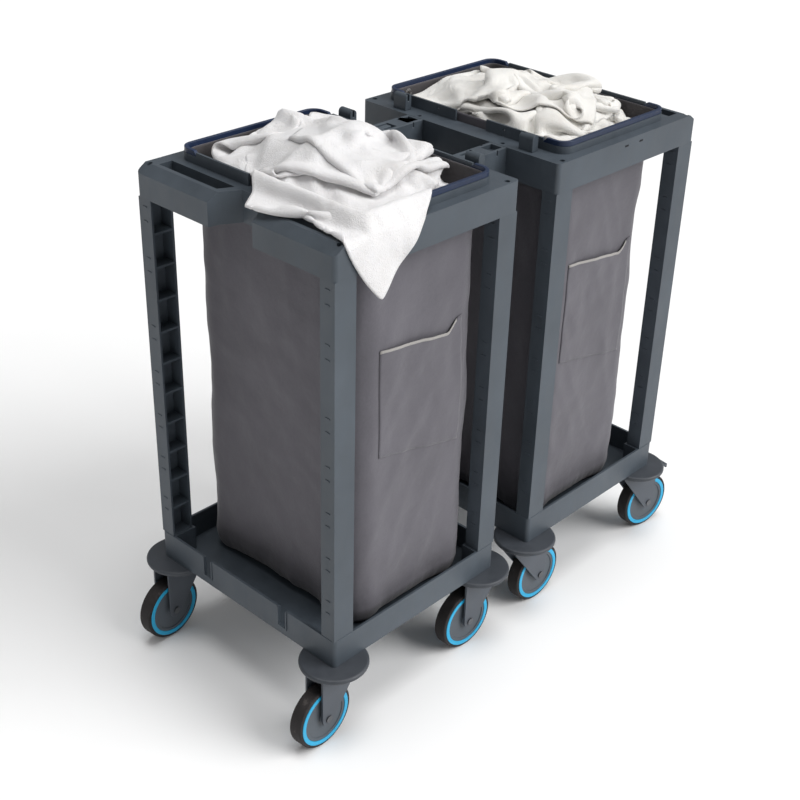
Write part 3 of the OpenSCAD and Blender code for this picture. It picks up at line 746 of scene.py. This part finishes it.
def hang(points, rest_u, rest_v, seed):
    """Relaxes a bag: the hem is held, the cloth sags, and the towels and the tray hold it out and up."""
    gravity, dt, damping, rounds = 9.8, 0.01, 0.95, 6
    steps = 70
    held = points[:HEM_ROWS].copy()
    drop = np.concatenate([np.zeros((1, 1)), np.cumsum(rest_v[:, 0], 0)])
    lowest = held[0, 0, 2] - drop    # no row sinks further than the cloth above it is long
    height = np.array([[wobble(x, y, z, 5, seed + 8) for x, y, z in row] for row in points])
    inset = BODY_INSET + 4 * MM - 7 * MM * height    # of the linen that presses the cloth out
    before = points.copy()
    for _ in range(steps):
        moved = (points - before) * damping
        before = points.copy()
        points += moved
        points[..., 2] -= gravity * dt * dt
        for _ in range(rounds):
            for first in (0, 1):
                pull(points[first:-1:2], points[first + 1::2], rest_v[first::2], 1.0)
            for shift in (0, -1):
                turned = np.roll(points, shift, 1)
                pull(turned[:, ::2], turned[:, 1::2], np.roll(rest_u, shift, 1)[:, ::2], 1.0)
                points[:] = np.roll(turned, -shift, 1)
            for span, share in ((2, 0.35), (5, 0.2)):
                for first in range(2 * span):
                    push_apart(points, CLOTH_STEP, span, first, share)
                for first in range(2 * span):
                    push_apart(points[:-10].swapaxes(0, 1), CLOTH_STEP, span, first, share)
            x, y = points[..., 0], points[..., 1]
            away = ring_distance(x, y, RING_X0, RING_X1, RING_Y, BODY_CORNER)
            body = (points[..., 2] < TOP_Z - 45 * MM) & (points[..., 2] > BAG_LOW.z + ROUND_H)
            gx, gy = outward(x, y)
            push = np.maximum(-inset - away, 0) - np.maximum(away + BODY_INSET - 8 * MM, 0)
            push = np.where(body, push, 0)
            points[..., 0] += gx * push
            points[..., 1] += gy * push
            np.maximum(points[..., 2], np.maximum(lowest, BAG_LOW.z + MM), out=points[..., 2])
            points[:HEM_ROWS] = held


def outward(x, y):
    """The direction straight out of the bag's plan, by which of its walls is nearest."""
    dx = np.abs(x - RING_MID) - (RING_X1 - RING_X0) / 2 + BODY_CORNER
    dy = np.abs(y) - RING_Y + BODY_CORNER
    gx = np.where((dx > 0) & (dy > 0), dx, np.where(dx > dy, 1.0, 0.0))
    gy = np.where((dx > 0) & (dy > 0), dy, np.where(dx > dy, 0.0, 1.0))
    size = np.hypot(gx, gy) + 1e-9
    return gx / size * np.sign(x - RING_MID), gy / size * np.sign(y)


def build_bag(m, side):
    """One bag, whose inside face is the bag's cloth darkened with painted shade where it shows at its hem, in
    place of the CAD stand-in.
    """
    points = bag_points(3.0 if side < 0 else 9.0)
    points[..., 0] *= side
    rows, count = points.shape[:2]
    faces = grid_faces(rows, count, closed=True)
    faces.append(tuple(range((rows - 1) * count, rows * count)))
    if side > 0:
        faces = [tuple(reversed(face)) for face in faces]
    obj = new_piece(f"bag_{m}_cloth", points.reshape(-1, 3), faces)
    # the inside face takes the second material, the bag's cloth with painted shade of the bag's inside
    thicken(obj, CLOTH_T, smooth=True).material_offset = 1
    paint(obj, FINISH["bag"])
    obj.data.materials.append(FINISH["inside_painted_shade"])
    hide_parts(f"bag_{m}")
    return points, obj


def on_bag(points, side, across, row):
    """A place on the -Y side of a bag, from the distance along +X from its middle and a row."""
    count = points.shape[1]
    column = side * across * count / BAG_ROUND
    i, j = math.floor(column), int(row)
    a, b = column - i, row - j
    low = points[j, i % count] * (1 - a) + points[j, (i + 1) % count] * a
    high = points[j + 1, i % count] * (1 - a) + points[j + 1, (i + 1) % count] * a
    return low * (1 - b) + high * b


def patch(name, points, side, edges, offset, finish, thickness, cells=(40, 40)):
    """A piece of cloth sewn to the front of a bag.

    edges(u) gives the place along the bag and the top and bottom row, and offset(u, v) how far it stands off.
    """
    verts = []
    for j in range(cells[1] + 1):
        for i in range(cells[0] + 1):
            u, v = i / cells[0], j / cells[1]
            across, top, bottom = edges(u)
            place = on_bag(points, side, across, top + (bottom - top) * v)
            verts.append(place + np.array([0, -offset(u, v), 0]))
    obj = new_piece(name, verts, grid_faces(cells[1] + 1, cells[0] + 1))
    thicken(obj, thickness)
    return paint(obj, FINISH[finish])


def build_pocket(m, points, side):
    """The patch pocket on the front, with a pale binding along its slightly open top edge."""

    def row_at(z):
        return HEM_ROWS + 2 + (TOP_Z - 44 * MM - z) / CLOTH_STEP

    def edges(u):
        sag = POCKET_SAG * (min(u, 0.8) / 0.8) ** 1.3 - POCKET_SAG * smoothstep(0.8, 0.96, u)
        return (POCKET_LEFT + (POCKET_RIGHT - POCKET_LEFT) * u,
                row_at(POCKET_TOP_Z - sag), row_at(POCKET_LOW_Z - POCKET_SLANT * u))

    def binding_edges(u):
        across, top, _ = edges(BINDING_SHARE * u)
        return across, top - 0.1, top + 0.5

    def gape(u, v):
        bulge = 4 * u * (1 - u)
        crumple = 1.2 * MM * bulge * abs(wobble(u * 0.3, v * 0.3, 0, 20, side))
        return 1.6 * MM + 7 * MM * bulge * (1 - v) ** 3 + crumple

    def binding_gape(u, v):
        return gape(BINDING_SHARE * u, 0.02 * v) + 0.7 * MM

    pocket = patch(f"bag_{m}_pocket", points, side, edges, gape, "bag", POCKET_T)
    binding = patch(f"bag_{m}_binding", points, side, binding_edges, binding_gape, "binding", BINDING_T,
                    cells=(40, 3))


def build_bags():
    for m, side in MODULES.items():
        points, bag = build_bag(m, side)
        build_pocket(m, points, side)


# ---------- stage, light and camera ----------

def build_stage():
    """A plain pale floor."""
    size = 14.0
    verts = [(-size, -size, 0), (size, -size, 0), (size, size, 0), (-size, size, 0)]
    mesh = bpy.data.meshes.new("floor")
    mesh.from_pydata(verts, [], [(0, 1, 2, 3)])
    floor = bpy.data.objects.new("floor", mesh)
    bpy.context.collection.objects.link(floor)
    s = Shader("studio_floor", (0.90, 0.90, 0.90), 0.75)
    s.ramp(s.noise(1.2, 3), (0.3, (0.895, 0.895, 0.895)), (0.7, (0.915, 0.915, 0.915)))
    floor.data.materials.append(s.material)


def build_world():
    """Weak even light from all round, which fills the shadows."""
    world = bpy.data.worlds.new("studio")
    world.use_nodes = True
    background = world.node_tree.nodes["Background"]
    background.inputs["Color"].default_value = (1, 1, 1, 1)
    background.inputs["Strength"].default_value = 0.27
    bpy.context.scene.world = world


def soft_sun(name, direction, strength, spread):
    """A wide sun, which lights the whole floor evenly and leaves soft shadows."""
    data = bpy.data.lights.new(name, "SUN")
    data.energy = strength
    data.angle = math.radians(spread)
    light = bpy.data.objects.new(name, data)
    bpy.context.collection.objects.link(light)
    light.rotation_mode = "QUATERNION"
    light.rotation_quaternion = Vector(direction).to_track_quat("-Z", "Y")


def build_lights():
    """A key light on the long front side and one from overhead, shown without a film curve."""
    soft_sun("key", (-0.42, 0.80, -0.62), 2.6, 45)
    soft_sun("top", (0.0, 0.05, -1.0), 1.45, 30)
    bpy.context.scene.view_settings.view_transform = "Standard"


def build_camera():
    """A long-lens view of the -X, -Y corner from above, slightly rolled."""
    azimuth, elevation, roll = map(math.radians, (-48.894, 29.853, 2.590))
    target, distance = Vector((0.0294, -0.0140, 0.4928)), 3.240
    back = Vector((math.sin(azimuth) * math.cos(elevation), -math.cos(azimuth) * math.cos(elevation),
                   math.sin(elevation)))
    right = (-back).cross(Vector((0, 0, 1))).normalized()
    up = right.cross(-back)
    across = right * math.cos(roll) + up * math.sin(roll)
    upward = up * math.cos(roll) - right * math.sin(roll)
    data = bpy.data.cameras.new("camera")
    data.sensor_width = 36
    data.lens = 61.588
    data.shift_x = -0.048
    data.shift_y = 0.001
    data.clip_end = 60
    camera = bpy.data.objects.new("camera", data)
    bpy.context.collection.objects.link(camera)
    turn = Matrix((across, upward, back)).transposed().to_4x4()
    camera.matrix_world = Matrix.Translation(target + back * distance) @ turn
    bpy.context.scene.camera = camera


build_moulded_parts()
build_marks()
build_slot_borders()
finish_cad_nodes()
build_bags()
build_towels_a()
build_towels_b()
build_stage()
build_world()
build_lights()
build_camera()
